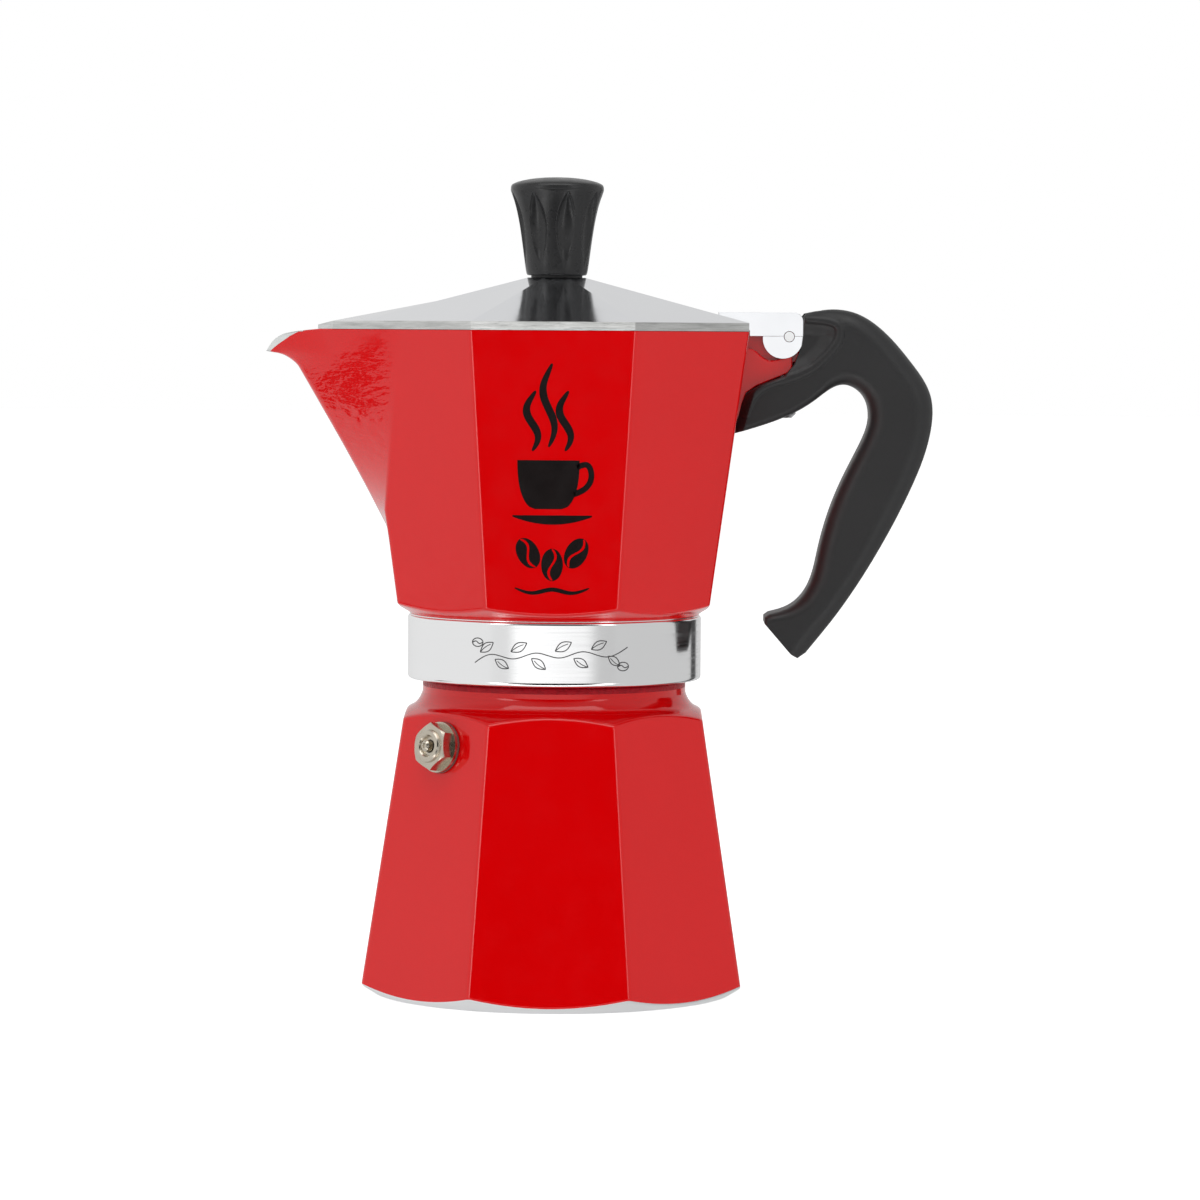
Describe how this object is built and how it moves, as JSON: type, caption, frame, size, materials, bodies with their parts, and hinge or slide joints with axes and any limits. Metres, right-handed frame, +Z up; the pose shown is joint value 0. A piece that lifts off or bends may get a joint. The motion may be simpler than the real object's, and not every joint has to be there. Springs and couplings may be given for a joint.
{
  "type": "moka pot",
  "caption": "Octagonal stovetop coffee pot: boiler with safety valve, filter funnel, screw-on spouted collector, hinged lid with knob and bent handle.",
  "frame": {"origin": "centre of the boiler's flat base, on the pot's vertical axis", "axes": "+Z up; the spout points along -X and the handle along +X; the front facet faces -Y"},
  "size_m": [0.1771, 0.1016, 0.216],
  "materials": {
    "red_enamel": "gloss baked enamel over cast aluminium",
    "polished_aluminium": "polished",
    "bare_aluminium": "spun, satin",
    "black_plastic": "satin moulded",
    "spacer_plastic": "matte",
    "valve_brass": "nickel-washed, turned",
    "insert_brass": "turned",
    "steel": "zinc-plated",
    "spring_steel": "drawn wire",
    "silicone": "matte",
    "fibre_washer": "matte"
  },
  "bodies": {
    "boiler": {"boiler": "red_enamel", "valve_body": "valve_brass", "valve_washer": "fibre_washer", "valve_spring": "spring_steel", "valve_retainer": "valve_brass"},
    "plunger": {"valve_plunger": "valve_brass", "plunger_seal": "silicone"},
    "funnel": {"funnel_basket": "bare_aluminium", "funnel_tube": "bare_aluminium", "funnel_strainer": "bare_aluminium"},
    "seal": {"gasket": "silicone", "filter_plate": "bare_aluminium"},
    "pot": {"collector": "red_enamel", "riser_column": "bare_aluminium", "hinge_pin": "steel", "handle": "black_plastic", "handle_screw": "steel"},
    "lid": {"lid": "polished_aluminium", "knob_spacer": "spacer_plastic", "lid_knob": "black_plastic", "knob_insert": "insert_brass", "knob_screw": "steel"}
  },
  "joints": [
    {"name": "lift_off", "type": "slide", "parent": "boiler", "child": "funnel", "axis": [0, 0, 1], "range_m": [0, 0.15]},
    {"name": "collector_rise", "type": "slide", "parent": "funnel", "child": "seal", "axis": [0, 0, 1], "range_m": [0, 0.009]},
    {"name": "collector_turn", "type": "hinge", "parent": "seal", "child": "pot", "pos_m": [0, 0, 0.088], "axis": [0, 0, 1], "range_deg": [0, 1080]},
    {"name": "lid_hinge", "type": "hinge", "parent": "pot", "child": "lid", "pos_m": [0.0616, 0, 0.1742], "axis": [0, 1, 0], "range_deg": [0, 105]},
    {"name": "valve_plunger_slide", "type": "slide", "parent": "boiler", "child": "plunger", "axis": [-0.6993, -0.6993, 0.1478], "range_m": [0, 0.0015], "stiffness_N_per_m": 800, "springref_m": -0.002, "deforming": ["valve_spring"]}
  ],
  "couplings": [
    {"joint": "collector_rise", "follows": "collector_turn", "m_per_rad": 0.00047746}
  ]
}
